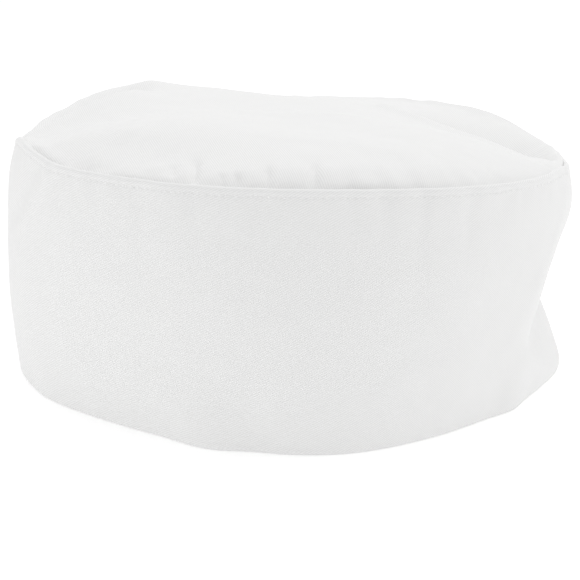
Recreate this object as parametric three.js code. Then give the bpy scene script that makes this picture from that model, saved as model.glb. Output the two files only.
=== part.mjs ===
// A chef's beanie: a tall band of white twill, folded double along its lower edge, and a soft loose
// crown of the same cloth, sewn inside the band's upper edge.
// Millimetres, +Z up, front towards -Y. The hat stands on its rim at z = 0, with its axis on the origin.

import * as THREE from 'three';
import { mergeVertices } from 'three/addons/utils/BufferGeometryUtils.js';

// Thickness of the doubled band, with the air between its layers, and of the single crown
const BAND_CLOTH = 2.0;
const CROWN_CLOTH = 1.5;
// Clear space between the two pieces
const GAP = 0.3;
// Height of the crown's edge that is turned down inside the band
const ALLOWANCE = 8;
// Height of the crown above the rim on the hat's axis
const CROWN_CENTRE = 89.5;

const WHITE = '#f2f2f0';
const COLUMNS = 128;

// The band, every 20 degrees anticlockwise from +X: its radius at the rim, at half height and at the
// seam, and the height of the seam, which sags on the wearer's left and stands highest at the front.
const BAND_SECTIONS = [
  { rim: 95.6, belly: 97.0, seam: 96.0, height: 73.5 },
  { rim: 93.8, belly: 97.0, seam: 96.5, height: 74.8 },
  { rim: 91.6, belly: 96.5, seam: 96.5, height: 80.2 },
  { rim: 93.0, belly: 97.0, seam: 96.5, height: 80.7 },
  { rim: 95.0, belly: 97.5, seam: 96.0, height: 80.4 },
  { rim: 94.4, belly: 97.0, seam: 96.0, height: 80.4 },
  { rim: 92.5, belly: 96.0, seam: 96.0, height: 81.5 },
  { rim: 92.3, belly: 96.0, seam: 96.0, height: 83.0 },
  { rim: 94.5, belly: 97.0, seam: 94.2, height: 81.2 },
  { rim: 95.6, belly: 97.6, seam: 93.8, height: 81.0 },
  { rim: 91.4, belly: 96.0, seam: 95.0, height: 86.8 },
  { rim: 87.0, belly: 94.0, seam: 96.0, height: 84.5 },
  { rim: 86.3, belly: 93.5, seam: 96.5, height: 84.1 },
  { rim: 92.0, belly: 96.5, seam: 96.5, height: 83.7 },
  { rim: 93.8, belly: 97.0, seam: 96.5, height: 83.0 },
  { rim: 89.3, belly: 95.0, seam: 96.5, height: 81.2 },
  { rim: 87.5, belly: 94.0, seam: 96.5, height: 79.0 },
  { rim: 89.3, belly: 95.5, seam: 96.0, height: 77.4 },
];

// Where the wall has buckled inwards to a flat facet: its direction, the height of its deepest line,
// the flat's distance from the axis there, and how far above and below that line it fades out
const BUCKLES = [{ at: -10, height: 22, distance: 84.4, above: 45, below: 24 }];
const BUCKLE_REACH = 97;
const BUCKLE_EDGE = 1.2;

// Soft corners and dips of the rim, which fade out up the wall: direction, push outwards, half width
// in degrees
const RIM_CORNERS = [
  { at: 206, out: 0.6, wide: 6 },
  { at: 252, out: 1.4, wide: 6 },
  { at: 263, out: -1.2, wide: 5 },
  { at: 325, out: 1.9, wide: 6 },
];
const RIM_CORNER_RISE = 18;

// Stretches where the wall's top leans in: direction, depth, half width in degrees
const LEANING = [
  { at: 192, deep: 1.4, wide: 16 },
  { at: 352, deep: 1.0, wide: 14 },
];
const LEAN_TALL = 7;

// Directions of the small puckers that the seam draws in the front of the band
const PUCKERS = [242, 253, 264, 281, 287, 294, 304];
const PUCKER = { out: -0.45, wide: 2, below: 5, tall: 9 };

// The crown, every 30 degrees anticlockwise from +X: its height at 0.45 and at 0.8 of its radius, how
// far its edge is tucked down behind the band's upper edge, and how far the cloth rolls down to it
const CROWN_SECTIONS = [
  { inner: 84.5, outer: 79.0, tuck: 0.0, roll: 0.6 },
  { inner: 86.5, outer: 80.0, tuck: 0.0, roll: 0.0 },
  { inner: 89.0, outer: 82.5, tuck: 0.0, roll: 0.0 },
  { inner: 88.5, outer: 83.0, tuck: 0.0, roll: 0.0 },
  { inner: 89.5, outer: 88.0, tuck: 0.0, roll: 0.0 },
  { inner: 89.0, outer: 90.5, tuck: 0.0, roll: 0.0 },
  { inner: 89.5, outer: 85.5, tuck: 0.0, roll: 0.0 },
  { inner: 92.5, outer: 88.5, tuck: 1.0, roll: 0.6 },
  { inner: 93.0, outer: 88.0, tuck: 1.2, roll: 2.0 },
  { inner: 90.0, outer: 88.0, tuck: 1.2, roll: 2.8 },
  { inner: 89.5, outer: 86.0, tuck: 1.2, roll: 2.8 },
  { inner: 89.5, outer: 84.5, tuck: 0.8, roll: 2.6 },
];
const CROWN_KNOTS = [0, 0.45, 0.8, 1];
const TUCK_WIDE = 3.5;
const ROLL_WIDE = 9;

// Stretches where the crown's edge sinks further behind the band's: direction, half width in degrees
const SUNKEN = [
  { at: 213, wide: 5, deep: 2.0 },
  { at: 239, wide: 5, deep: 2.0 },
  { at: 282, wide: 6, deep: 1.8 },
  { at: 296, wide: 8, deep: 0.8 },
];

// Ridges and hollows of loose cloth across the crown, in plan: where each starts, a point that it passes
// and where it ends, its rise, how far it fades to the left and to the right of its line, and the
// roundness of its crest
const CROWN_FOLDS = [
  { start: [88, -22], via: [66, 4], end: [34, 28], rise: 2.5, left: 5, right: 5, crest: 0.3 },
  { start: [88, -4], via: [75, 23], end: [44, 50], rise: -7.5, left: 16, right: 8, crest: 2 },
  { start: [-92, 15], via: [-76, 22], end: [-52, 46], rise: 0.6, left: 4, right: 8, crest: 0.3 },
  { start: [-92, 24], via: [-82, 30], end: [-59, 54], rise: -5.5, left: 10, right: 10, crest: 1.5 },
  { start: [-93, 22], via: [-81, 43], end: [-54, 58], rise: 4.8, left: 11, right: 9, crest: 2 },
  { start: [-61, -68], via: [-56, -60], end: [-50, -52], rise: 1.2, left: 5, right: 5, crest: 1 },
  { start: [-74, -48], via: [-70, -30], end: [-62, -8], rise: -1.5, left: 9, right: 9, crest: 4 },
  { start: [-48, -8], via: [-12, -5], end: [22, -8], rise: 0.6, left: 4, right: 5, crest: 1.5 },
  { start: [-6, -54], via: [16, -60], end: [36, -66], rise: 0.6, left: 7, right: 5, crest: 1.5 },
];
const FOLD_STEPS = 24;
const FOLD_FADE = 6;

// Gathers where the crown's edge is eased into the front of the seam: direction, half width in degrees
const GATHERS = [
  { at: 247, wide: 2.0 },
  { at: 253, wide: 2.0 },
  { at: 260, wide: 2.2 },
  { at: 266, wide: 2.0 },
  { at: 274, wide: 2.2 },
];
const GATHER = { deep: 1.2, inward: 3, long: 7 };

// Heights of the band's rows as shares of the seam's height, and the crown's rows as shares of its radius
const BAND_ROWS = [0, 0.14, 0.26, 0.36, 0.5, 0.65, 0.8, 0.92, 1];
const CROWN_ROWS = [0.15, 0.3, 0.43, 0.54, 0.64, 0.73, 0.81, 0.88, 0.93, 0.97, 1];

const { cos, sin, exp, log, max, min, hypot } = Math;
const radians = THREE.MathUtils.degToRad;

// Bell curve: 1 in the middle, fading over the given width
function bell(distance, width) {
  return exp(-((distance / width) ** 2));
}

// Degrees from a direction to an angle, the short way round
function turn(degrees, direction) {
  return THREE.MathUtils.euclideanModulo(degrees - direction + 180, 360) - 180;
}

// One column of a section table at any angle, on a smooth closed curve through its rows
function around(rows, column, degrees) {
  const place = THREE.MathUtils.euclideanModulo(degrees, 360) / (360 / rows.length);
  const row = Math.floor(place);
  const [a, b, c, d] = [-1, 0, 1, 2].map((step) => rows[(row + step + rows.length) % rows.length][column]);
  const f = place - row;
  return b + 0.5 * f * (c - a + f * (2 * a - 5 * b + 4 * c - d + f * (3 * (b - c) + d - a)));
}

// The curve through a few knots, worked out at a place between them
function through(knots, values, place) {
  return values.reduce((sum, value, i) => {
    const others = knots.filter((knot, j) => j !== i);
    return sum + others.reduce((product, knot) => product * (place - knot) / (knots[i] - knot), value);
  }, 0);
}

// Radius of the band's outer face: a curve through rim, belly and seam, cut by the buckle's flat, with
// the rim's corners, the lean of the top and the seam's puckers added
function bandRadius(degrees, z) {
  const [rim, belly, seam, height] = ['rim', 'belly', 'seam', 'height'].map((column) =>
    around(BAND_SECTIONS, column, degrees));
  let radius = through([0, 0.5, 1], [rim, belly, seam], z / height);
  for (const { at, height: level, distance, above, below } of BUCKLES) {
    const reach = z > level ? above : below;
    const depth = max(0, 1 - Math.abs(z - level) / reach) ** 1.2;
    const facing = max(0.3, cos(radians(turn(degrees, at))));
    const flat = (BUCKLE_REACH - (BUCKLE_REACH - distance) * depth) / facing;
    const pressed = -BUCKLE_EDGE * log(exp(-radius / BUCKLE_EDGE) + exp(-flat / BUCKLE_EDGE));
    radius = THREE.MathUtils.lerp(radius, pressed, min(1, 3 * depth));
  }
  for (const { at, out, wide } of RIM_CORNERS) {
    radius += out * bell(turn(degrees, at), wide) * bell(z, RIM_CORNER_RISE);
  }
  for (const { at, deep, wide } of LEANING) {
    radius -= deep * bell(turn(degrees, at), wide) * bell(height - z, LEAN_TALL);
  }
  const puckered = bell(height - z - PUCKER.below, PUCKER.tall);
  for (const at of PUCKERS) {
    radius += PUCKER.out * puckered * bell(turn(degrees, at), PUCKER.wide);
  }
  return radius;
}

// Each fold's line in plan, and the direction in which it runs at each of its points
const foldLines = CROWN_FOLDS.map(({ start, via, end, ...form }) => {
  const [from, middle, to] = [start, via, end].map((point) => new THREE.Vector2(...point));
  const pull = middle.clone().multiplyScalar(2).sub(from.clone().add(to).multiplyScalar(0.5));
  const curve = new THREE.QuadraticBezierCurve(from, pull, to);
  const steps = Array.from({ length: FOLD_STEPS + 1 }, (_, i) => i / FOLD_STEPS);
  const points = steps.map((t) => curve.getPoint(t));
  const along = steps.map((t) => curve.getTangent(t));
  return { ...form, points, along };
});

// Rise of one fold at a point of the plan, by the distance to the nearest point of its line
function foldRise({ points, along, rise, left, right, crest }, x, y) {
  const distances = points.map((point) => hypot(x - point.x, y - point.y));
  const distance = min(...distances);
  const nearest = distances.indexOf(distance);
  const across = along[nearest].x * (y - points[nearest].y) - along[nearest].y * (x - points[nearest].x);
  const side = distance > 0 ? across / distance : 0;
  const width = (left * (1 + side) + right * (1 - side)) / 2;
  const away = hypot(distance, crest) - crest;
  return rise * exp(-((away / width) ** 1.3));
}

// How far the crown's upper face lies below its plain dome near the edge: rolled over, tucked in behind
// the band, and drawn down at the gathers
function edgeDrop(degrees, inward) {
  const [tuck, roll] = ['tuck', 'roll'].map((column) => around(CROWN_SECTIONS, column, degrees));
  const sunken = SUNKEN.reduce((sum, { at, wide, deep }) => sum + deep * bell(turn(degrees, at), wide), tuck);
  const gathered = GATHERS.reduce((sum, { at, wide }) => sum + bell(turn(degrees, at), wide), 0);
  const gather = GATHER.deep * gathered * bell(inward - GATHER.inward, GATHER.long);
  return sunken * bell(inward, TUCK_WIDE) + roll * bell(inward, ROLL_WIDE) + gather;
}

// A point of the crown's upper face, a given share of the way from the axis to its edge
function crownPoint(degrees, share) {
  const height = around(BAND_SECTIONS, 'height', degrees);
  const [inner, outer] = ['inner', 'outer'].map((column) => around(CROWN_SECTIONS, column, degrees));
  const edge = bandRadius(degrees, height) - BAND_CLOTH - GAP;
  const radius = edge * share;
  const inward = edge - radius;
  const x = radius * cos(radians(degrees));
  const y = radius * sin(radians(degrees));
  const knots = CROWN_KNOTS.map((knot) => knot ** 2);
  const dome = through(knots, [CROWN_CENTRE, inner, outer, height], share ** 2);
  const folded = foldLines.reduce((sum, fold) => sum + foldRise(fold, x, y), 0);
  return new THREE.Vector3(x, y, dome + folded * (1 - bell(inward, FOLD_FADE)) - edgeDrop(degrees, inward));
}

// A point at an angle, a radius and a height
function polar(degrees, radius, z) {
  return new THREE.Vector3(radius * cos(radians(degrees)), radius * sin(radians(degrees)), z);
}

// The band's wall in one direction, a closed profile: up the outer face and down the inner one
function bandProfile(degrees) {
  const height = around(BAND_SECTIONS, 'height', degrees);
  const outer = BAND_ROWS.map((share) => polar(degrees, bandRadius(degrees, share * height), share * height));
  const inner = BAND_ROWS.map((share) =>
    polar(degrees, bandRadius(degrees, share * height) - BAND_CLOTH, share * height));
  return [...outer, ...inner.reverse()];
}

// The crown in one direction, a profile from the axis to the axis: out along its under face, down and
// up the turned edge inside the band, and back in over its upper face
function crownProfile(degrees) {
  const upper = [0, ...CROWN_ROWS].map((share) => crownPoint(degrees, share));
  const edge = upper.at(-1);
  const narrowed = 1 - CROWN_CLOTH / hypot(edge.x, edge.y);
  const under = upper.map(({ x, y, z }) => new THREE.Vector3(x * narrowed, y * narrowed, z - CROWN_CLOTH));
  const low = edge.z - ALLOWANCE;
  const outside = bandRadius(degrees, low) - BAND_CLOTH - GAP;
  const turned = [polar(degrees, outside - CROWN_CLOTH, low), polar(degrees, outside, low)];
  return [...under, ...turned, ...upper.reverse()];
}

// A closed skin through one profile for each direction round the head. A ring's profiles close on
// themselves, and a cap's start and end on the axis.
function skin(profile, isRing) {
  const columns = Array.from({ length: COLUMNS }, (_, i) => profile(360 * i / COLUMNS));
  const rows = columns[0].length;
  const steps = isRing ? rows : rows - 1;
  const index = [];
  for (let i = 0; i < COLUMNS; i++) {
    const next = (i + 1) % COLUMNS;
    for (let k = 0; k < steps; k++) {
      const above = (k + 1) % rows;
      const [a, b, c, d] = [i * rows + k, next * rows + k, next * rows + above, i * rows + above];
      const touchesStart = !isRing && k === 0;
      const touchesEnd = !isRing && k === steps - 1;
      if (!touchesStart) index.push(a, b, d);
      if (!touchesEnd) index.push(b, c, d);
    }
  }
  const geometry = new THREE.BufferGeometry().setFromPoints(columns.flat());
  geometry.setIndex(index);
  const merged = mergeVertices(geometry, 1e-4);
  merged.computeVertexNormals();
  return merged;
}

// White cotton-rich twill, matt, the crown's single layer a touch brighter
function twill(brightness) {
  const color = new THREE.Color(WHITE).multiplyScalar(brightness);
  return new THREE.MeshStandardMaterial({ color, roughness: 0.9, metalness: 0 });
}

function makeBand() {
  const band = new THREE.Mesh(skin(bandProfile, true), twill(0.98));
  band.name = 'band';
  return band;
}

function makeCrown() {
  const crown = new THREE.Mesh(skin(crownProfile, false), twill(1));
  crown.name = 'crown';
  return crown;
}

const hat = new THREE.Group();
hat.add(makeBand(), makeCrown());

export default hat;
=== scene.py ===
"""A white chef's beanie that stands on its rim: a tall band of doubled twill with a loose crown sewn
inside its upper edge. Metres, +Z up, the front towards -Y. Directions round the hat are in degrees,
anticlockwise from +X."""

import math

import bpy
import numpy as np
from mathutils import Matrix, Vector


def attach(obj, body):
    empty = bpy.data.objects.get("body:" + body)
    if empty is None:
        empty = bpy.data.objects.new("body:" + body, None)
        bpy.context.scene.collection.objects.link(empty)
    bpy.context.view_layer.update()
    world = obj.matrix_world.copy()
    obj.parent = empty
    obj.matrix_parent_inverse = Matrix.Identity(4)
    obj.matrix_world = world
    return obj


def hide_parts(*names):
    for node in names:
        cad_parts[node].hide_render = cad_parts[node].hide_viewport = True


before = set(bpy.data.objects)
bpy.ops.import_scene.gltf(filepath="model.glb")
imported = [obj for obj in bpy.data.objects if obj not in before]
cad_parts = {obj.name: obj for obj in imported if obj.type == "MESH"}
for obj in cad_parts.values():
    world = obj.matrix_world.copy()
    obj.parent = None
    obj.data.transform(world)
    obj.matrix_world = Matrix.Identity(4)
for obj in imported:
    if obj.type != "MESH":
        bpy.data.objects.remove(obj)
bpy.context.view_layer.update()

# The camera stands in front of the hat and a little above it, where the photographer's stood.
# It looks slightly down along +Y through a normal lens.

CAMERA_PLACE = (0.0, -0.600, 0.191)
CAMERA_DIP = 15.3
SENSOR = 36.0
FRAME_WIDTH = 580
LENS_IN_PIXELS = 1770

camera_data = bpy.data.cameras.new("camera")
camera_data.sensor_width = SENSOR
camera_data.lens = SENSOR * LENS_IN_PIXELS / FRAME_WIDTH
camera = bpy.data.objects.new("camera", camera_data)
camera.location = CAMERA_PLACE
camera.rotation_euler = (math.radians(90 - CAMERA_DIP), 0, 0)
bpy.context.scene.collection.objects.link(camera)
bpy.context.scene.camera = camera

# The band is one strip of white cotton-rich twill, folded double along the rim, so that its lower edge
# is a soft fold. Its upper edge is turned in over the crown's and topstitched, which draws in small
# puckers. The strip's ends are joined at the back, and the wall has buckled on the wearer's left.

WALL = 0.0020
STITCHES = 250
STITCH_DROP = 0.0024
JOIN_AT = 90.0

# Every 20 degrees: radius at the rim, at half height and at the seam, and height of the seam
BAND_SECTIONS = np.array(
    [
        (0.0956, 0.0970, 0.0960, 0.0735),
        (0.0938, 0.0970, 0.0965, 0.0748),
        (0.0916, 0.0965, 0.0965, 0.0802),
        (0.0930, 0.0970, 0.0965, 0.0807),
        (0.0950, 0.0975, 0.0960, 0.0804),
        (0.0944, 0.0970, 0.0960, 0.0804),
        (0.0925, 0.0960, 0.0960, 0.0815),
        (0.0923, 0.0960, 0.0960, 0.0830),
        (0.0945, 0.0970, 0.0942, 0.0812),
        (0.0956, 0.0976, 0.0938, 0.0810),
        (0.0914, 0.0960, 0.0950, 0.0868),
        (0.0870, 0.0940, 0.0960, 0.0845),
        (0.0863, 0.0935, 0.0965, 0.0841),
        (0.0920, 0.0965, 0.0965, 0.0837),
        (0.0938, 0.0970, 0.0965, 0.0830),
        (0.0893, 0.0950, 0.0965, 0.0812),
        (0.0875, 0.0940, 0.0965, 0.0790),
        (0.0893, 0.0955, 0.0960, 0.0774),
    ],
    dtype=[("rim", float), ("belly", float), ("seam", float), ("height", float)],
)

# Where the wall has buckled to a flat facet: its direction, the height of its deepest line, the flat's
# distance from the axis there, and how far above and below that line it fades out. Then the flat's
# distance where it has faded out, the roundness of its edges and of its deepest line, the power of its
# fading, how soon it takes over from the round wall, and the least cosine that it is worked out with.
BUCKLE = {"at": -10, "height": 0.022, "distance": 0.0844, "above": 0.045, "below": 0.024}
BUCKLE_REACH = 0.097
BUCKLE_EDGE = 0.0012
BUCKLE_CREASE = 0.002
BUCKLE_FADE = 1.2
BUCKLE_TAKES_OVER = 3
BUCKLE_FACING = 0.3

# Soft corners and dips of the rim: direction, push outwards, half width in degrees
RIM_CORNERS = [(206, 0.0006, 6), (252, 0.0014, 6), (263, -0.0012, 5), (325, 0.0019, 6)]
RIM_CORNER_RISE = 0.018

# Stretches where the wall's top leans in: direction, depth, half width in degrees
LEANING = [(192, 0.0014, 16), (352, 0.0010, 14)]
LEAN_TALL = 0.007

# Puckers under the seam: direction, depth, half width in degrees, length down the wall
PUCKERS = [
    (232, 0.00050, 1.6, 0.010),
    (242, 0.00065, 1.9, 0.012),
    (253, 0.00065, 1.7, 0.011),
    (264, 0.00050, 1.7, 0.010),
    (281, 0.00070, 1.5, 0.012),
    (287, 0.00060, 1.7, 0.012),
    (294, 0.00070, 1.7, 0.014),
    (304, 0.00065, 1.9, 0.012),
]
PUCKER_BELOW = 0.004

# Soft ridges of the wall: direction and height of each end, rise, half width in degrees. Each is full
# within RIDGE_FULL of its length from its middle, and fades over RIDGE_FADE of it.
WALL_RIDGES = [
    {"start": (220, 0.082), "end": (206, 0.062), "rise": 0.0008, "wide": 2.6},
    {"start": (211, 0.080), "end": (198, 0.060), "rise": -0.0010, "wide": 4.0},
    {"start": (250, 0.076), "end": (236, 0.040), "rise": 0.0004, "wide": 5.0},
    {"start": (296, 0.072), "end": (306, 0.020), "rise": 0.0005, "wide": 6.0},
    {"start": (341, 0.072), "end": (322, 0.030), "rise": 0.0005, "wide": 3.5},
]
RIDGE_FULL = 0.4
RIDGE_FADE = 0.25

# What the topstitch and the join press into the cloth or raise in it: how high it rises, how far its
# middle is from the stitch row, the lip or the join, and its half width
STITCH_GROOVE = {"rise": -0.00004, "wide": 0.00060}
NEEDLE_HOLE = {"rise": -0.00021, "wide": 0.00040}
LIP_BEAD = {"rise": 0.00005, "at": 0.0012, "wide": 0.0007}
JOIN_GROOVE = {"rise": -0.0007, "wide": 0.0006}
JOIN_ALLOWANCE = {"rise": 0.0003, "at": 0.0030, "wide": 0.0022}

# Unevenness of the wall: its size, its length and the seed of its waves
WALL_UNEVEN = [(0.00022, 0.045, 1), (0.00007, 0.014, 2)]
SEAM_UNEVEN = (0.00010, 0.006, 3)
SEAM_UNEVEN_AT = 0.002
SEAM_UNEVEN_WIDE = 0.006
SEAM_UNEVEN_UPRIGHT = (1, 1, 0.3)

# Radius for lengths along the wall, and the radius that gives the flat strip its length
WALL_RADIUS = 0.096
STRIP_RADIUS = 0.0965

# How many waves an unevenness is the sum of, and how much their lengths vary
WAVES = 24
WAVE_LENGTHS = (0.7, 1.6)

# Columns of the wall's mesh to a stitch, and how far below the lip its rows lie closer together
COLUMNS_PER_STITCH = 4
LIP_ZONE = 0.009


def bell(distance, width):
    """A smooth bump: e to the power of minus the square of distance over width."""
    return np.exp(-((distance / width) ** 2))


def turn(angle, direction):
    """Degrees from a direction to an angle, the short way round."""
    return (angle - direction + 180) % 360 - 180


def around(sections, column, angle):
    """One column of a section table at any angle: a closed Catmull-Rom curve through its rows."""
    values = sections[column]
    place = angle % 360 / (360 / len(values))
    row = np.floor(place).astype(int)
    f = place - row
    a, b, c, d = (values[(row + step) % len(values)] for step in (-1, 0, 1, 2))
    return b + f / 2 * (c - a + f * (2 * a - 5 * b + 4 * c - d + f * (3 * (b - c) + d - a)))


def unevenness(points, length, seed):
    """Smooth random relief round 0: the sum of sine waves that run in random directions through the
    points, each about as long as the given length, over the root of how many they are."""
    random = np.random.default_rng(seed)
    directions = random.normal(size=(WAVES, 3))
    directions /= np.linalg.norm(directions, axis=1)[:, None]
    waves = directions / (length * random.uniform(*WAVE_LENGTHS, WAVES))[:, None]
    phases = random.uniform(0, 2 * np.pi, WAVES)
    return np.sin(2 * np.pi * points @ waves.T + phases).sum(-1) / math.sqrt(WAVES)


def band_form(angle, z):
    """Radius of the wall's outer face: a parabola through rim, belly and seam, cut off by the buckle's
    flat with a soft minimum, plus the rim's corners, less the stretches that lean in."""
    rim, belly, seam, height = (around(BAND_SECTIONS, c, angle) for c in ("rim", "belly", "seam", "height"))
    t = z / height
    radius = rim * (1 - t) * (1 - 2 * t) + 4 * belly * t * (1 - t) + seam * t * (2 * t - 1)
    away = z - BUCKLE["height"]
    reach = np.where(away > 0, BUCKLE["above"], BUCKLE["below"])
    depth = np.clip(1 - (np.hypot(away, BUCKLE_CREASE) - BUCKLE_CREASE) / reach, 0, 1) ** BUCKLE_FADE
    facing = np.maximum(np.cos(np.radians(turn(angle, BUCKLE["at"]))), BUCKLE_FACING)
    flat = (BUCKLE_REACH - (BUCKLE_REACH - BUCKLE["distance"]) * depth) / facing
    pressed = -BUCKLE_EDGE * np.logaddexp(-radius / BUCKLE_EDGE, -flat / BUCKLE_EDGE)
    radius = radius + (pressed - radius) * np.clip(BUCKLE_TAKES_OVER * depth, 0, 1)
    for at, out, wide in RIM_CORNERS:
        radius = radius + out * bell(turn(angle, at), wide) * bell(z, RIM_CORNER_RISE)
    for at, deep, wide in LEANING:
        radius = radius - deep * bell(turn(angle, at), wide) * bell(height - z, LEAN_TALL)
    return radius


def pressing(form, distance):
    """Rise of a groove or bead at a distance: its full rise times a bell round its middle."""
    return form["rise"] * bell(distance - form.get("at", 0), form["wide"])


def band_relief(angle, z):
    """Fine relief of the outer face: puckers and ridges as bells across their lines, the groove and the
    needle holes of the topstitch, the join at the back, and a slight unevenness."""
    height = around(BAND_SECTIONS, "height", angle)
    drop = height - z
    relief = 0 * z
    for at, deep, wide, tall in PUCKERS:
        relief = relief - deep * bell(turn(angle, at), wide) * bell(drop - PUCKER_BELOW, tall)
    for ridge in WALL_RIDGES:
        (a0, z0), (a1, z1) = ridge["start"], ridge["end"]
        share = (z - z0) / (z1 - z0)
        ends = bell(np.maximum(np.abs(share - 0.5) - RIDGE_FULL, 0), RIDGE_FADE)
        relief = relief + ridge["rise"] * ends * bell(turn(angle, a0 + (a1 - a0) * share), ridge["wide"])
    stitch = (angle - JOIN_AT) / 360 * STITCHES
    to_hole = np.abs(stitch - np.round(stitch)) * 2 * np.pi * WALL_RADIUS / STITCHES
    relief = relief + pressing(STITCH_GROOVE, drop - STITCH_DROP) + pressing(LIP_BEAD, drop)
    relief = relief + pressing(NEEDLE_HOLE, to_hole) * bell(drop - STITCH_DROP, NEEDLE_HOLE["wide"])
    to_join = np.abs(turn(angle, JOIN_AT)) * math.radians(1) * WALL_RADIUS
    relief = relief + pressing(JOIN_GROOVE, to_join) + pressing(JOIN_ALLOWANCE, to_join)
    points = polar(angle, WALL_RADIUS, z)
    for size, length, seed in WALL_UNEVEN:
        relief = relief + size * unevenness(points, length, seed)
    size, length, seed = SEAM_UNEVEN
    near_seam = bell(drop - SEAM_UNEVEN_AT, SEAM_UNEVEN_WIDE)
    return relief + size * near_seam * unevenness(points * SEAM_UNEVEN_UPRIGHT, length, seed)


def band_face(angle, z):
    """Radius of the finished outer face: the wall's form and its fine relief."""
    return band_form(angle, z) + band_relief(angle, z)


def polar(angle, radius, z):
    """Points at an angle, a radius and a height."""
    turned = np.radians(angle)
    return np.stack(np.broadcast_arrays(radius * np.cos(turned), radius * np.sin(turned), z), -1)


def run(points):
    """Length along each column of a grid of points, from its first row."""
    steps = np.linalg.norm(np.diff(points, axis=1), axis=-1)
    return np.concatenate([np.zeros((len(points), 1)), np.cumsum(steps, 1)], 1)


def skin(name, points, cloth, poles=None):
    """A smooth mesh through a grid of points that closes round its columns. Its rows close on each other
    too, or run from one pole to the other. Where the columns go anticlockwise and the rows go up the
    outside, the faces point outwards. cloth is each corner's place on the flat cloth, in metres, on a
    grid with one more column, and one more row where the rows close."""
    columns, rows = points.shape[:2]
    index = np.arange(columns * rows).reshape(columns, rows)
    index = np.concatenate([index, index[:1]])
    if poles is None:
        index = np.concatenate([index, index[:, :1]], 1)
    corners = [(0, 0), (1, 0), (1, 1), (0, 1)]
    steps = index.shape[1] - 1
    quads = np.stack([index[i:columns + i, k:steps + k] for i, k in corners], -1).reshape(-1, 4)
    places = np.stack([cloth[i:columns + i, k:steps + k] for i, k in corners], 2).reshape(-1, 4, 2)
    vertices = points.reshape(-1, 3)
    loops, loop_places = quads.ravel(), places.reshape(-1, 2)
    sizes = np.full(len(quads), 4)
    if poles is not None:
        first, last = len(vertices), len(vertices) + 1
        vertices = np.concatenate([vertices, poles])
        here, after = index[:-1], index[1:]
        start = np.stack([here[:, 0] * 0 + first, after[:, 0], here[:, 0]], -1)
        end = np.stack([here[:, -1] * 0 + last, here[:, -1], after[:, -1]], -1)
        middle = np.zeros((columns, 2))
        start_places = np.stack([middle, cloth[1:, 0], cloth[:-1, 0]], 1)
        end_places = np.stack([middle, cloth[:-1, -1], cloth[1:, -1]], 1)
        loops = np.concatenate([loops, start.ravel(), end.ravel()])
        loop_places = np.concatenate([loop_places, start_places.reshape(-1, 2), end_places.reshape(-1, 2)])
        sizes = np.concatenate([sizes, np.full(2 * columns, 3)])
    mesh = bpy.data.meshes.new(name)
    mesh.vertices.add(len(vertices))
    mesh.vertices.foreach_set("co", vertices.astype(np.float32).ravel())
    mesh.loops.add(len(loops))
    mesh.loops.foreach_set("vertex_index", loops.astype(np.int32))
    mesh.polygons.add(len(sizes))
    mesh.polygons.foreach_set("loop_start", (np.cumsum(sizes) - sizes).astype(np.int32))
    mesh.update(calc_edges=True)
    mesh.validate()
    mesh.polygons.foreach_set("use_smooth", np.ones(len(sizes), bool))
    mesh.uv_layers.new(name="cloth").data.foreach_set("uv", loop_places.astype(np.float32).ravel())
    piece = bpy.data.objects.new(name, mesh)
    bpy.context.scene.collection.objects.link(piece)
    return piece


# Rows of the wall's profile: up the outer face, closer together near the lip, over the lip's half
# round, down the inner face, and round the fold at the rim. FOLD and LIP are how tall those two are.
FOLD = 0.0012
LIP = 0.0008
COARSE = np.linspace(0, 1, 37)[:-1]
NEAR_LIP = np.linspace(LIP_ZONE, LIP, 25)
INNER_COARSE = np.linspace(0, 1, 13)[:-1]
INNER_NEAR = np.linspace(LIP_ZONE, LIP, 10)
ROUND = np.linspace(0, np.pi, 8)[1:-1]

columns = STITCHES * COLUMNS_PER_STITCH
band_angles = JOIN_AT + np.linspace(0, 360, columns, endpoint=False)[:, None]
band_height = around(BAND_SECTIONS, "height", band_angles)


def face_heights(coarse, near):
    """Heights of a face's rows: shares of the way up to the lip's zone, then set drops below the lip."""
    low = FOLD + coarse * (band_height - LIP_ZONE - FOLD)
    return np.concatenate([low, band_height - near], 1)


outer = face_heights(COARSE, NEAR_LIP)
inner = face_heights(INNER_COARSE, INNER_NEAR)[:, ::-1]
lip = band_height - LIP + LIP * np.sin(ROUND)
fold = FOLD - FOLD * np.sin(ROUND) + 0 * band_height
band_z = np.concatenate([outer, lip, inner, fold], 1)
half_round = WALL / 2 * (1 - np.cos(ROUND)) + 0 * band_height
band_inset = np.concatenate([0 * outer, half_round, 0 * inner + WALL, WALL - half_round], 1)
band_points = polar(band_angles, band_face(band_angles, band_z) - band_inset, band_z)
band_run = run(np.concatenate([band_points, band_points[:, :1]], 1))
band_run = np.concatenate([band_run, band_run[:1]])
band_across = np.linspace(0, 2 * np.pi * STRIP_RADIUS, columns + 1)[:, None] + 0 * band_run
band = skin("twill_band", band_points, np.stack([band_across, band_run], -1))


def join(tree, *links):
    """Links pairs of sockets in a node tree."""
    for start, end in links:
        tree.links.new(start, end)


def math_node(tree, operation, *values):
    """A Math node on sockets or numbers; gives its output socket."""
    node = tree.nodes.new("ShaderNodeMath")
    node.operation = operation
    for socket, value in zip(node.inputs, values):
        if isinstance(value, bpy.types.NodeSocket):
            tree.links.new(value, socket)
        else:
            socket.default_value = value
    return node.outputs[0]


def noise_node(tree, vector, noise):
    """A Noise Texture with a noise's scale, detail and roughness, read at a vector; gives its value,
    round one half."""
    node = tree.nodes.new("ShaderNodeTexNoise")
    for name, value in noise.items():
        node.inputs[name].default_value = value
    tree.links.new(vector, node.inputs["Vector"])
    return node.outputs[0]


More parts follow.
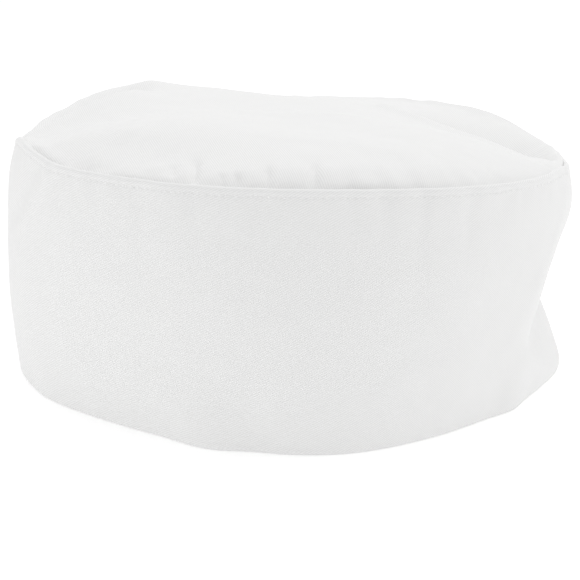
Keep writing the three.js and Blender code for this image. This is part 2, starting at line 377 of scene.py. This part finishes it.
# The twill's ribs run at TWILL_ANGLE to the strip's length, TWILL_PITCH apart. Each is broken into
# floats, which shift by a share of their length from rib to rib.
TWILL_ANGLE = 27.0
TWILL_PITCH = 0.00067
FLOAT_LENGTH = 0.00080
FLOAT_SHIFT = 0.37
FLOAT_DEPTH = 0.14
# Painted shade: how much darker the base colour is in the hollows of the weave, between the ribs and where
# the floats break
PAINTED_RIB_SHADE = 0.11

# How the ribs wander, how yarns differ in thickness and sheen, and how slubs shade the cloth
WANDER_NOISE = {"Scale": 260.0, "Detail": 1.0, "Roughness": 0.5}
YARN_NOISE = {"Scale": 1500.0, "Detail": 3.0, "Roughness": 0.6}
SLUB_NOISE = {"Scale": 120.0, "Detail": 3.0, "Roughness": 0.6}
WANDER = 0.35
YARN_RELIEF = 0.08
UNEVEN_SHADE = 0.03
TWILL_ROUGHNESS = 0.80
YARN_ROUGHNESS = 0.16


def twill_group():
    """Node group for twill, from a place on the flat cloth in metres: diagonal ribs as a cosine across
    their direction, each broken into floats by a cosine along it that shifts from rib to rib, with
    yarns that wander and vary a little. Puts out the relief, the shade and the roughness. The shade is
    painted shade, darker in the hollows between the ribs and where the floats break, times the yarns'
    and slubs' own uneven tone."""
    group = bpy.data.node_groups.new("twill", "ShaderNodeTree")
    group.interface.new_socket("Place", in_out="INPUT", socket_type="NodeSocketVector")
    for name in ("Relief", "Shade", "Roughness"):
        group.interface.new_socket(name, in_out="OUTPUT", socket_type="NodeSocketFloat")
    enter = group.nodes.new("NodeGroupInput")
    leave = group.nodes.new("NodeGroupOutput")
    place = enter.outputs["Place"]
    split = group.nodes.new("ShaderNodeSeparateXYZ")
    group.links.new(place, split.inputs[0])
    u, v = split.outputs[0], split.outputs[1]
    c, s = math.cos(math.radians(TWILL_ANGLE)), math.sin(math.radians(TWILL_ANGLE))
    v_across = math_node(group, "MULTIPLY", v, c)
    v_along = math_node(group, "MULTIPLY", v, s)
    across = math_node(group, "SUBTRACT", v_across, math_node(group, "MULTIPLY", u, s))
    along = math_node(group, "ADD", math_node(group, "MULTIPLY", u, c), v_along)
    wander = math_node(group, "SUBTRACT", noise_node(group, place, WANDER_NOISE), 0.5)
    rib = math_node(group, "ADD", math_node(group, "DIVIDE", across, TWILL_PITCH),
                    math_node(group, "MULTIPLY", wander, WANDER))
    rib_wave = math_node(group, "COSINE", math_node(group, "MULTIPLY", rib, 2 * math.pi))
    rib_number = math_node(group, "ROUND", rib)
    float_place = math_node(group, "ADD", math_node(group, "DIVIDE", along, FLOAT_LENGTH),
                            math_node(group, "MULTIPLY", rib_number, FLOAT_SHIFT))
    float_wave = math_node(group, "COSINE", math_node(group, "MULTIPLY", float_place, 2 * math.pi))
    ribs = math_node(group, "MULTIPLY_ADD", rib_wave, 0.5, 0.5)
    floats = math_node(group, "MULTIPLY_ADD", float_wave, FLOAT_DEPTH, 1 - FLOAT_DEPTH)
    weave = math_node(group, "MULTIPLY", ribs, floats)
    yarn = noise_node(group, place, YARN_NOISE)
    relief = math_node(group, "ADD", weave, math_node(group, "MULTIPLY", yarn, YARN_RELIEF))
    slub = noise_node(group, place, SLUB_NOISE)
    # Painted shade in the hollows of the weave, times the yarns' and slubs' own uneven tone
    shade = math_node(group, "MULTIPLY_ADD", weave, PAINTED_RIB_SHADE, 1 - PAINTED_RIB_SHADE)
    for uneven in (yarn, slub):
        tone = math_node(group, "MULTIPLY_ADD", uneven, UNEVEN_SHADE, 1 - UNEVEN_SHADE / 2)
        shade = math_node(group, "MULTIPLY", shade, tone)
    roughness = math_node(group, "MULTIPLY_ADD", yarn, YARN_ROUGHNESS, TWILL_ROUGHNESS)
    join(group, (relief, leave.inputs["Relief"]), (shade, leave.inputs["Shade"]),
         (roughness, leave.inputs["Roughness"]))
    return group


# The base colour goes from white towards black with the group's shade: painted shade in the weave's hollows
# and the yarns' uneven tone
TWILL_WHITE = (0.910, 0.910, 0.907)
TWILL_SHADOW = (0.0, 0.0, 0.0)
TWILL_SPECULAR = 0.2
TWILL_SHEEN = 0.05
SHEEN_ROUGHNESS = 0.6
RIB_HEIGHT = 0.000025


def twill_material():
    """White cotton-rich twill, matt with a faint sheen: the group's shade, painted shade between the ribs
    times the yarns' uneven tone, darkens the base colour, and its relief is a bump."""
    material = bpy.data.materials.new("white twill")
    material.use_nodes = True
    tree = material.node_tree
    shader = tree.nodes["Principled BSDF"]
    shader.inputs["Specular IOR Level"].default_value = TWILL_SPECULAR
    shader.inputs["Sheen Weight"].default_value = TWILL_SHEEN
    shader.inputs["Sheen Roughness"].default_value = SHEEN_ROUGHNESS
    cloth = tree.nodes.new("ShaderNodeUVMap")
    cloth.uv_map = "cloth"
    twill = tree.nodes.new("ShaderNodeGroup")
    twill.node_tree = twill_group()
    colour = tree.nodes.new("ShaderNodeMix")
    colour.data_type = "RGBA"
    colour.inputs["A"].default_value = (*TWILL_SHADOW, 1)
    colour.inputs["B"].default_value = (*TWILL_WHITE, 1)
    bump = tree.nodes.new("ShaderNodeBump")
    bump.inputs["Distance"].default_value = RIB_HEIGHT
    join(tree, (cloth.outputs[0], twill.inputs["Place"]),
         (twill.outputs["Shade"], colour.inputs["Factor"]),
         (colour.outputs["Result"], shader.inputs["Base Color"]),
         (twill.outputs["Roughness"], shader.inputs["Roughness"]),
         (twill.outputs["Relief"], bump.inputs["Height"]),
         (bump.outputs[0], shader.inputs["Normal"]))
    return material


white_twill = twill_material()
band.data.materials.append(white_twill)
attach(band, "root")
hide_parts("band")

# The crown is one disc of the same twill, wider than the opening and eased into it, so that it domes
# loosely and lies in ridges, hollows and small gathers. Its edge is turned down inside the band.

CROWN_CLOTH = 0.0009
CROWN_CENTRE = 0.0895
SEAM_GAP = 0.0001
ALLOWANCE = 0.008
FLARE = 0.0005
BEND = 0.0007

# Every 30 degrees: height at 0.8 and at 0.45 of the radius, how far the edge is tucked down behind the
# lip, how far the cloth rolls down to it, and how far it puffs up beside the lip
CROWN_SECTIONS = np.array(
    [
        (0.0790, 0.0845, -0.0010, 0.0004, 0.0000),
        (0.0800, 0.0865, -0.0004, 0.0000, 0.0000),
        (0.0825, 0.0890, -0.0004, 0.0000, 0.0000),
        (0.0830, 0.0885, 0.0000, 0.0000, 0.0000),
        (0.0880, 0.0895, 0.0000, 0.0000, 0.0000),
        (0.0905, 0.0890, -0.0014, 0.0000, 0.0000),
        (0.0855, 0.0895, -0.0004, 0.0000, 0.0000),
        (0.0875, 0.0925, 0.0010, 0.0024, 0.0000),
        (0.0882, 0.0930, 0.0008, 0.0014, 0.0012),
        (0.0891, 0.0905, 0.0008, 0.0022, 0.0014),
        (0.0871, 0.0895, 0.0008, 0.0020, 0.0013),
        (0.0845, 0.0895, 0.0008, 0.0025, 0.0003),
    ],
    dtype=[("outer", float), ("inner", float), ("tuck", float), ("roll", float), ("puff", float)],
)
CROWN_KNOTS = np.array([0.45, 0.8, 1.0])
CENTRE_CALM = 0.35
TUCK_WIDE = 0.0024
ROLL_WIDE = 0.010
PUFF_IN = 0.0065
PUFF_WIDE = 0.0065

# Stretches where the edge sinks further behind the lip, or less far: direction, half width in degrees,
# depth, and how far in it fades out
SUNKEN = [
    (206, 5, 0.0038, 0.0032),
    (213, 5, 0.0032, 0.0026),
    (240, 6, 0.0036, 0.0016),
    (262, 4, 0.0014, 0.0016),
    (270, 3, 0.0014, 0.0016),
    (282, 5, 0.0032, 0.0016),
    (294, 8, 0.0012, 0.0016),
    (354, 7, -0.0012, 0.0030),
]

# Ridges and hollows in plan: where each starts, a point that it passes and where it ends, its rise, how
# far it fades to the left and to the right of its line, and the roundness of its crest. Then the points
# along each line, the power of its fading, and how far in from the crown's edge all of them fade out.
CROWN_FOLDS = [
    {"start": (0.088, -0.022), "via": (0.066, 0.004), "end": (0.034, 0.028),
     "rise": 0.0025, "left": 0.004, "right": 0.0045, "crest": 0.0003},
    {"start": (0.088, -0.004), "via": (0.075, 0.023), "end": (0.044, 0.050),
     "rise": -0.0075, "left": 0.016, "right": 0.008, "crest": 0.002},
    {"start": (-0.092, 0.002), "via": (-0.076, 0.016), "end": (-0.057, 0.036),
     "rise": 0.0020, "left": 0.0025, "right": 0.007, "crest": 0.0002},
    {"start": (-0.092, 0.013), "via": (-0.080, 0.024), "end": (-0.059, 0.046),
     "rise": -0.0062, "left": 0.010, "right": 0.0055, "crest": 0.0012},
    {"start": (-0.093, 0.022), "via": (-0.081, 0.043), "end": (-0.054, 0.058),
     "rise": 0.0038, "left": 0.011, "right": 0.009, "crest": 0.002},
    {"start": (-0.061, -0.065), "via": (-0.057, -0.055), "end": (-0.052, -0.045),
     "rise": 0.0019, "left": 0.007, "right": 0.0035, "crest": 0.001},
    {"start": (-0.080, -0.036), "via": (-0.074, -0.020), "end": (-0.062, -0.004),
     "rise": -0.0010, "left": 0.010, "right": 0.010, "crest": 0.004},
    {"start": (-0.048, -0.008), "via": (-0.012, -0.005), "end": (0.022, -0.008),
     "rise": 0.0006, "left": 0.004, "right": 0.005, "crest": 0.0015},
    {"start": (-0.006, -0.054), "via": (0.016, -0.060), "end": (0.036, -0.066),
     "rise": 0.0006, "left": 0.007, "right": 0.005, "crest": 0.0015},
]
FOLD_STEPS = 40
FOLD_POWER = 1.3
FOLD_FADE = 0.006

# Gathers where the edge is eased into the front of the seam, which run straight back: place along X,
# how far in from the edge the middle is, half length, depth, half width. The cloth swells a little
# beside each, at BESIDE_AT half widths from it, and each is shallower at the very edge.
GATHERS = [
    (-0.0350, 0.007, 0.003, 0.0006, 0.0017),
    (-0.0280, 0.008, 0.006, 0.0013, 0.0015),
    (-0.0200, 0.003, 0.003, 0.0010, 0.0014),
    (-0.0155, 0.003, 0.004, 0.0014, 0.0016),
    (-0.0063, 0.005, 0.005, 0.0011, 0.0014),
    (0.0072, 0.006, 0.006, 0.0015, 0.0018),
]
BESIDE_AT = 2.6
BESIDE_WIDE = 1.5
BESIDE_SWELL = 0.12
GATHER_FULL = 0.5
GATHER_FADE = 0.6
HELD_BACK = 0.5
HELD_WIDE = 0.001

# Unevenness of the crown: its size, its length and the seed of its waves. The long waves are strongest
# at LOOSE_AT of the radius, the fine ones are all over, and the last are beside the seam.
LOOSE_UNEVEN = (0.00030, 0.040, 5)
LOOSE_AT = 0.6
LOOSE_WIDE = 0.5
FINE_UNEVEN = (0.00008, 0.015, 6)
EASED_UNEVEN = (0.00016, 0.008, 7)
EASED_AT = 0.002
EASED_WIDE = 0.006


def fold_line(form):
    """Points along a fold's quadratic curve in plan and its unit direction at each of them."""
    t = np.linspace(0, 1, FOLD_STEPS)[:, None]
    start, via, end = (np.array(form[k]) for k in ("start", "via", "end"))
    pull = 2 * via - (start + end) / 2
    line = (1 - t) ** 2 * start + 2 * t * (1 - t) * pull + t ** 2 * end
    along = np.gradient(line, axis=0)
    return line, along / np.linalg.norm(along, axis=1)[:, None]


def fold_rise(form, plan):
    """Rise of a fold: its height times e to minus a power of the distance from its line over its width,
    which goes smoothly from the one side's to the other's round the line's ends."""
    line, along = fold_line(form)
    away = plan[..., None, :] - line
    nearest = np.argmin((away ** 2).sum(-1), -1)
    offset = np.take_along_axis(away, nearest[..., None, None], -2)[..., 0, :]
    distance = np.hypot(offset[..., 0], offset[..., 1])
    across = along[nearest, 0] * offset[..., 1] - along[nearest, 1] * offset[..., 0]
    side = np.clip(across / np.maximum(distance, 1e-9), -1, 1)
    width = (form["left"] * (1 + side) + form["right"] * (1 - side)) / 2
    soft = np.hypot(distance, form["crest"]) - form["crest"]
    return form["rise"] * np.exp(-((soft / width) ** FOLD_POWER))


def crown_height(angle, radius, edge):
    """Height of the crown's cloth: an even polynomial of the radius through the table's heights, evened
    out round the centre, plus the folds, the puff and a slight unevenness, less the tuck and the roll at
    the edge, the sunken stretches and the gathers."""
    height = around(BAND_SECTIONS, "height", angle)
    outer, inner, tuck, roll, puff = (around(CROWN_SECTIONS, c, angle) for c in CROWN_SECTIONS.dtype.names)
    squares = CROWN_KNOTS ** 2
    to_terms = np.linalg.inv(np.stack([squares, squares ** 2, squares ** 3], -1))
    rises = np.stack([inner, outer, height]) - CROWN_CENTRE
    terms = np.tensordot(to_terms, rises, 1)
    share = radius / edge
    z = CROWN_CENTRE + terms[0] * share ** 2 + terms[1] * share ** 4 + terms[2] * share ** 6
    mean = z.mean(0, keepdims=True)
    calm = np.clip(share / CENTRE_CALM, 0, 1)
    z = mean + (z - mean) * calm ** 2 * (3 - 2 * calm)
    inward = edge - radius
    plan = polar(angle, radius, 0)[..., :2]
    folds = sum(fold_rise(form, plan) for form in CROWN_FOLDS)
    z = z + folds * (1 - bell(inward, FOLD_FADE))
    z = z - tuck * bell(inward, TUCK_WIDE) - roll * bell(inward, ROLL_WIDE)
    z = z + puff * bell(inward - PUFF_IN, PUFF_WIDE)
    for at, wide, deep, reach in SUNKEN:
        z = z - deep * bell(turn(angle, at), wide) * bell(inward, reach)
    for at, middle, half, deep, wide in GATHERS:
        beside = bell(np.abs(plan[..., 0] - at) - BESIDE_AT * wide, BESIDE_WIDE * wide)
        pleat = (bell(plan[..., 0] - at, wide) - BESIDE_SWELL * beside) * (plan[..., 1] < 0)
        ends = bell(np.maximum(np.abs(inward - middle) - GATHER_FULL * half, 0), GATHER_FADE * half)
        z = z - deep * pleat * ends * (1 - HELD_BACK * bell(inward, HELD_WIDE))
    points = np.concatenate([plan, 0 * plan[..., :1]], -1)
    size, length, seed = LOOSE_UNEVEN
    z = z + size * bell(share - LOOSE_AT, LOOSE_WIDE) * unevenness(points, length, seed)
    size, length, seed = FINE_UNEVEN
    z = z + size * unevenness(points, length, seed)
    size, length, seed = EASED_UNEVEN
    return z + size * bell(inward - EASED_AT, EASED_WIDE) * unevenness(points, length, seed)


# Columns of the crown's middle surface, closer together at the front, where the gathers are, and its
# rows: out from the axis, closer together near the edge, round the bend, and down inside the band
CROWN_COLUMNS = 800
GATHERED_AT = 262
GATHERED_WIDE = 40
GATHERED_CLOSER = 1.6
CROWN_WIDE = np.linspace(0.012, 0.90, 56)
CROWN_NEAR = np.linspace(0.0090, BEND, 26)
WIDE_REACH = 0.99
BEND_ROUND = np.linspace(0, np.pi / 2, 5)[1:]
DOWN = np.linspace(0, 1, 8)[1:]

sweep = np.linspace(0, 360, 3601)
closeness = np.cumsum(1 + GATHERED_CLOSER * bell(turn(JOIN_AT + sweep, GATHERED_AT), GATHERED_WIDE))
closeness = (closeness - closeness[0]) / (closeness[-1] - closeness[0])
crown_share = np.linspace(0, 1, CROWN_COLUMNS, endpoint=False)[:, None]
crown_angles = JOIN_AT + np.interp(crown_share, closeness, sweep)
crown_edge = band_face(crown_angles, around(BAND_SECTIONS, "height", crown_angles) - LIP)
crown_edge = crown_edge - WALL - SEAM_GAP - CROWN_CLOTH / 2
wide_radius = CROWN_WIDE * (crown_edge - CROWN_NEAR[0]) / CROWN_WIDE[-1] * WIDE_REACH
crown_radius = np.concatenate([wide_radius, crown_edge - CROWN_NEAR], 1)
crown_top = crown_height(crown_angles, crown_radius, crown_edge)
bend_z = crown_top[:, -1:] - BEND * (1 - np.cos(BEND_ROUND))
bend_radius = crown_edge - BEND * (1 - np.sin(BEND_ROUND))
down_z = bend_z[:, -1:] - (ALLOWANCE - BEND) * DOWN
down_radius = band_face(crown_angles, down_z) - WALL - SEAM_GAP - CROWN_CLOTH / 2 - FLARE * DOWN
middle = polar(
    crown_angles,
    np.concatenate([crown_radius, bend_radius, down_radius], 1),
    np.concatenate([crown_top, bend_z, down_z], 1),
)


def normals(points):
    """Unit normals of a grid that closes round its columns: the cross product of its slope along the
    rows and its slope round the columns, which points up where the rows run out from the middle."""
    wrapped = np.concatenate([points[-1:], points, points[:1]])
    round_it = np.gradient(wrapped, axis=0)[1:-1]
    down_it = np.gradient(points, axis=1)
    cross = np.cross(down_it, round_it)
    return cross / np.linalg.norm(cross, axis=-1, keepdims=True)


# The cloth's upper side, its raw edge as a half round, and its under side, which has every fourth row
UNDER_STEP = 4
crown_normals = normals(middle)
over = middle + crown_normals * CROWN_CLOTH / 2
under = middle - crown_normals * CROWN_CLOTH / 2
edge_round = np.linspace(0, np.pi, 5)[1:-1][:, None]
edge_down = middle[:, -1:] - middle[:, -2:-1]
edge_down = edge_down / np.linalg.norm(edge_down, axis=-1, keepdims=True)
raw_edge = middle[:, -1:] + CROWN_CLOTH / 2 * (
    np.cos(edge_round) * crown_normals[:, -1:] + np.sin(edge_round) * edge_down)
last_row = middle.shape[1] - 1
under_rows = np.unique(np.append(np.arange(0, last_row, UNDER_STEP), last_row))[::-1]
crown_points = np.concatenate([over, raw_edge, under[:, under_rows]], 1)
crown_poles = np.array([[0, 0, crown_top[:, 0].mean() + side * CROWN_CLOTH / 2] for side in (1, -1)])

# The twill's direction on the crown, and each point's place on the disc: as far from its middle as the
# cloth runs to it
TWILL_TURN = 79.0
over_run = run(over) + crown_radius[:, :1]
under_run = (run(under) + crown_radius[:, :1])[:, under_rows]
crown_run = np.concatenate([over_run, over_run[:, -1:] + np.zeros((1, raw_edge.shape[1])), under_run], 1)
crown_cloth = polar(crown_angles - TWILL_TURN, crown_run, 0)[..., :2]
crown_cloth = np.concatenate([crown_cloth, crown_cloth[:1]])

# Its rows go to the skin from the under side to the upper, so that the faces point outwards
crown = skin("twill_crown", crown_points[:, ::-1], crown_cloth[:, ::-1], crown_poles[::-1])
crown.data.materials.append(white_twill)
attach(crown, "root")
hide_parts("crown")

# The topstitching is a lockstitch in white thread just below the lip, through the band and the crown's
# turned edge: each stitch lies on the cloth and dives into a needle hole at both ends.

THREAD = 0.00011
POINTS_PER_STITCH = 8
THREAD_SIDES = 8
STITCH_ROUNDNESS = 0.6

# How deep the thread's ends lie below the band's outer face and how far its middle rises from there,
# and the same on the inside
OUTER_SUNK = 0.00024
OUTER_BOW = 0.00024
INNER_SUNK = 0.00020
INNER_BOW = 0.00035

THREAD_TWIST = 0.0006
# Painted shade: the thread's colour where its twist's relief is lowest
THREAD_PAINTED_SHADE = (0.88, 0.88, 0.88)
THREAD_WHITE = (0.92, 0.92, 0.915)
THREAD_ROUGHNESS = 0.65
THREAD_SPECULAR = 0.3
TWIST_HEIGHT = 0.00002


def thread_material():
    """White spun thread: a twist as a wave along the thread that turns with its girth, in relief and in
    painted shade, darker where the relief is low."""
    material = bpy.data.materials.new("thread")
    material.use_nodes = True
    tree = material.node_tree
    shader = tree.nodes["Principled BSDF"]
    shader.inputs["Roughness"].default_value = THREAD_ROUGHNESS
    shader.inputs["Specular IOR Level"].default_value = THREAD_SPECULAR
    place = tree.nodes.new("ShaderNodeUVMap")
    place.uv_map = "cloth"
    split = tree.nodes.new("ShaderNodeSeparateXYZ")
    tree.links.new(place.outputs[0], split.inputs[0])
    turns = math_node(tree, "DIVIDE", split.outputs[0], THREAD_TWIST)
    twist = math_node(tree, "ADD", turns, split.outputs[1])
    wave = math_node(tree, "COSINE", math_node(tree, "MULTIPLY", twist, 2 * math.pi))
    colour = tree.nodes.new("ShaderNodeMix")
    colour.data_type = "RGBA"
    colour.inputs["A"].default_value = (*THREAD_PAINTED_SHADE, 1)
    colour.inputs["B"].default_value = (*THREAD_WHITE, 1)
    bump = tree.nodes.new("ShaderNodeBump")
    bump.inputs["Distance"].default_value = TWIST_HEIGHT
    join(tree, (math_node(tree, "MULTIPLY_ADD", wave, 0.5, 0.5), colour.inputs["Factor"]),
         (colour.outputs["Result"], shader.inputs["Base Color"]),
         (wave, bump.inputs["Height"]),
         (bump.outputs[0], shader.inputs["Normal"]))
    return material


def thread(name, path, out, thick, sides=THREAD_SIDES):
    """A tube round a closed path: at each point a circle square to the path, with out as the direction
    away from the cloth."""
    along = np.roll(path, -1, 0) - np.roll(path, 1, 0)
    along /= np.linalg.norm(along, axis=1)[:, None]
    side = np.cross(out, along)
    side /= np.linalg.norm(side, axis=1)[:, None]
    square = np.cross(along, side)
    turned = np.linspace(0, 2 * np.pi, sides, endpoint=False)[None, :, None]
    points = path[:, None] + thick * (np.cos(turned) * square[:, None] + np.sin(turned) * side[:, None])
    lengths = np.concatenate([[0], np.cumsum(np.linalg.norm(np.roll(path, -1, 0) - path, axis=1))])[:, None]
    around_it = np.linspace(0, 1, sides + 1)[None, :]
    piece = skin(name, points, np.stack(np.broadcast_arrays(lengths, around_it), -1))
    piece.data.materials.append(white_thread)
    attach(piece, "root")
    return piece


white_thread = thread_material()
stitch_angles = JOIN_AT + np.linspace(0, 360, STITCHES * POINTS_PER_STITCH, endpoint=False)
stitch_share = np.arange(STITCHES * POINTS_PER_STITCH) % POINTS_PER_STITCH / POINTS_PER_STITCH
stitch_bow = np.sin(np.pi * stitch_share) ** STITCH_ROUNDNESS
stitch_z = around(BAND_SECTIONS, "height", stitch_angles) - STITCH_DROP
stitch_out = polar(stitch_angles, 1.0, 0.0)
outer_row = band_face(stitch_angles, stitch_z) - OUTER_SUNK + OUTER_BOW * stitch_bow
thread("topstitching", polar(stitch_angles, outer_row, stitch_z), stitch_out, THREAD)
inner_drop = (STITCH_DROP - BEND) / ALLOWANCE
inner_face = band_face(stitch_angles, stitch_z) - WALL - SEAM_GAP - CROWN_CLOTH - FLARE * inner_drop
inner_row = inner_face + INNER_SUNK - INNER_BOW * stitch_bow
thread("topstitching_inside", polar(stitch_angles, inner_row, stitch_z), -stitch_out, THREAD)

# The crown's raw edge inside the band is overlocked: thread that wraps round the edge in close loops,
# so that the twill doesn't fray.

WRAPS = 260
POINTS_PER_WRAP = 12
WRAP_THREAD = 0.00013
WRAP_SIDES = 5
WRAP_TALL = 0.0021
WRAP_DEEP = CROWN_CLOTH / 2 + 0.00014
WRAP_UNDER = CROWN_CLOTH / 2 + 0.0002
WRAP_FLATNESS = 0.5

wrap_angles = JOIN_AT + np.linspace(0, 360, WRAPS * POINTS_PER_WRAP, endpoint=False)
wrap_turn = 2 * np.pi * np.arange(WRAPS * POINTS_PER_WRAP) / POINTS_PER_WRAP
edge_line = middle[:, -1]
edge_angles = np.concatenate([crown_angles[:, 0], [JOIN_AT + 360]])
edge_radius = np.hypot(edge_line[:, 0], edge_line[:, 1])
wrap_radius = np.interp(wrap_angles, edge_angles, np.append(edge_radius, edge_radius[0]))
wrap_z = np.interp(wrap_angles, edge_angles, np.append(edge_line[:, 2], edge_line[0, 2]))
squared = np.sign(np.cos(wrap_turn)) * np.abs(np.cos(wrap_turn)) ** WRAP_FLATNESS
wrap_path = polar(
    wrap_angles,
    wrap_radius + WRAP_DEEP * squared,
    wrap_z + WRAP_TALL - WRAP_UNDER + WRAP_TALL * np.sin(wrap_turn),
)
wrap_out = polar(wrap_angles, np.cos(wrap_turn), np.sin(wrap_turn))
thread("overlocking", wrap_path, wrap_out, WRAP_THREAD, WRAP_SIDES)

# The hat stands on a plain white floor under soft white light from all round, with broad lamps at both
# sides, at the upper right, above and behind.

FLOOR_HALF = 5.0
FLOOR_WHITE = (0.90, 0.90, 0.90)
FLOOR_ROUGHNESS = 0.9
FLOOR_SPECULAR = 0.2
FLOOR_GLOW = 0.27
LIGHT_WHITE = (1, 1, 1, 1)
SURROUND = 0.667
LIGHT_AIM = Vector((0, 0, 0.05))
LAMPS = [
    {"name": "left_lamp", "place": (-1.0, -0.05, 0.35), "size": (0.9, 0.7), "power": 1.12},
    {"name": "right_lamp", "place": (1.0, -0.05, 0.35), "size": (0.9, 0.7), "power": 0.42},
    {"name": "upper_right_lamp", "place": (0.9, 0.3, 0.9), "size": (0.8, 0.8), "power": 1.95},
    {"name": "top_lamp", "place": (0.0, 0.0, 1.2), "size": (1.0, 1.0), "power": 3.4},
    {"name": "back_lamp", "place": (0.0, 1.1, 0.9), "size": (1.4, 0.8), "power": 2.06},
]

floor_mesh = bpy.data.meshes.new("floor")
corners = [(-1, -1), (1, -1), (1, 1), (-1, 1)]
floor_mesh.from_pydata([(FLOOR_HALF * x, FLOOR_HALF * y, 0) for x, y in corners], [], [(0, 1, 2, 3)])
floor = bpy.data.objects.new("floor", floor_mesh)
bpy.context.scene.collection.objects.link(floor)
floor_material = bpy.data.materials.new("floor")
floor_material.use_nodes = True
floor_shader = floor_material.node_tree.nodes["Principled BSDF"]
floor_shader.inputs["Base Color"].default_value = (*FLOOR_WHITE, 1)
floor_shader.inputs["Roughness"].default_value = FLOOR_ROUGHNESS
floor_shader.inputs["Specular IOR Level"].default_value = FLOOR_SPECULAR
floor_shader.inputs["Emission Color"].default_value = LIGHT_WHITE
floor_shader.inputs["Emission Strength"].default_value = FLOOR_GLOW
floor_mesh.materials.append(floor_material)

surround = bpy.data.worlds.new("surround")
surround.use_nodes = True
background = surround.node_tree.nodes["Background"]
background.inputs["Color"].default_value = LIGHT_WHITE
background.inputs["Strength"].default_value = SURROUND
bpy.context.scene.world = surround
bpy.context.scene.view_settings.view_transform = "Standard"

for lamp in LAMPS:
    light = bpy.data.lights.new(lamp["name"], "AREA")
    light.shape = "RECTANGLE"
    light.size, light.size_y = lamp["size"]
    light.energy = lamp["power"]
    holder = bpy.data.objects.new(lamp["name"], light)
    holder.location = lamp["place"]
    holder.rotation_euler = (LIGHT_AIM - Vector(lamp["place"])).to_track_quat("-Z", "Y").to_euler()
    holder.visible_camera = False
    bpy.context.scene.collection.objects.link(holder)
